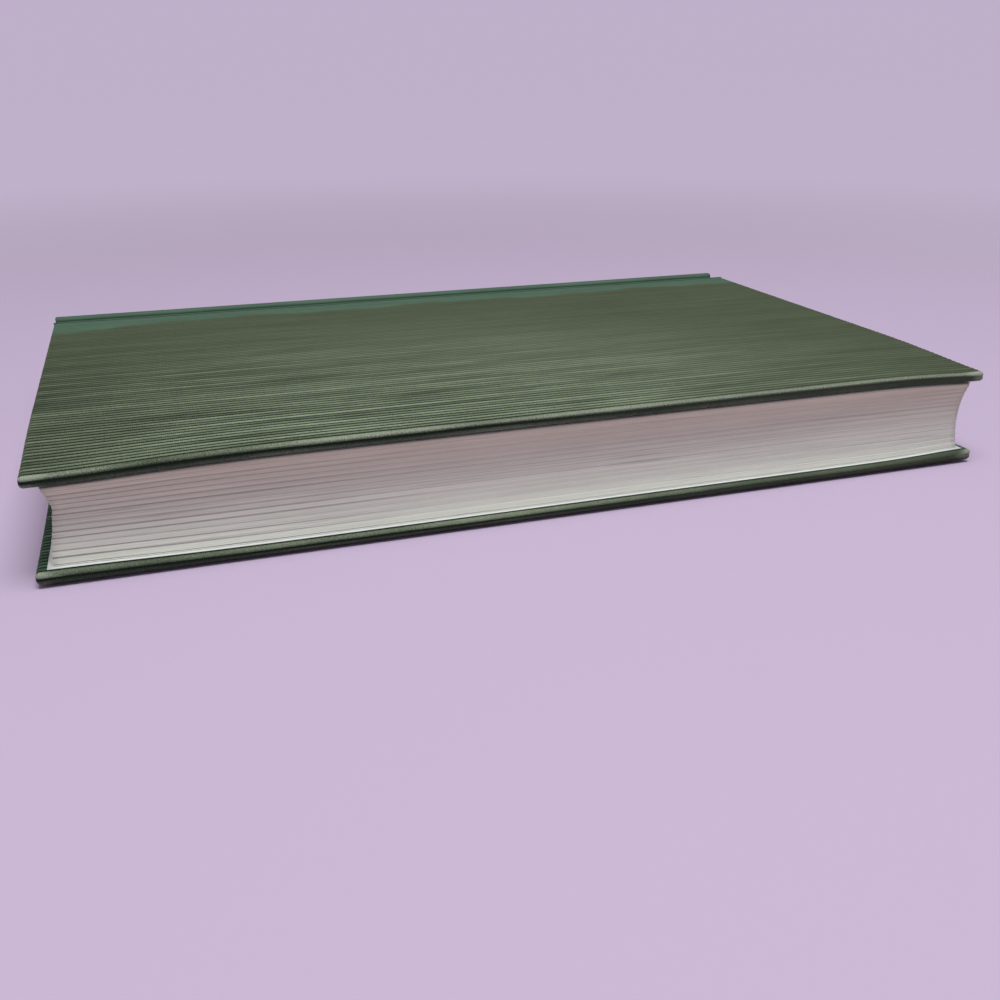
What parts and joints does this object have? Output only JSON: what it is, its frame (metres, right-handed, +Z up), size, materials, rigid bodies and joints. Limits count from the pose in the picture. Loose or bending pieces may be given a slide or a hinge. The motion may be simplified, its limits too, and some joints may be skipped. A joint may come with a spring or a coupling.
{
  "type": "hardback book",
  "caption": "Closed hardback book in corded green cloth, rounded back, hollow fore-edge, covers that open on joints beside the back.",
  "frame": {"origin": "centre of the closed book's box at the level it rests on, on the underside of the back cover", "axes": "+X from tail to head, +Y from the fore-edge to the back, +Z up from the back cover to the front cover"},
  "size_m": [0.235, 0.1562, 0.0262],
  "materials": {
    "corded_cloth": "matt corded book cloth",
    "millboard": "matt grey-brown board",
    "pages": "cut page edges",
    "endpaper": "smooth white endpaper",
    "gauze": "starched gauze",
    "lining_paper": "brown lining paper",
    "band_thread": "woven silk band"
  },
  "bodies": {
    "pages": {"text_block": "pages", "mull": "gauze", "spine_lining": "lining_paper", "head_band": "band_thread", "tail_band": "band_thread", "spine_inlay": "millboard", "spine_cloth": "corded_cloth", "front_flyleaf": "endpaper", "back_flyleaf": "endpaper"},
    "front_cover": {"front_board": "millboard", "front_cover_cloth": "corded_cloth", "front_pastedown": "endpaper"},
    "back_cover": {"back_board": "millboard", "back_cover_cloth": "corded_cloth", "back_pastedown": "endpaper"}
  },
  "joints": [
    {"name": "front_joint", "type": "hinge", "parent": "pages", "child": "front_cover", "pos_m": [0, 0.0701, 0.02345], "axis": [-1, 0, 0], "range_deg": [0, 179.9]},
    {"name": "back_joint", "type": "hinge", "parent": "pages", "child": "back_cover", "pos_m": [0, 0.0701, 0.00275], "axis": [1, 0, 0], "range_deg": [0, 179.9]}
  ]
}
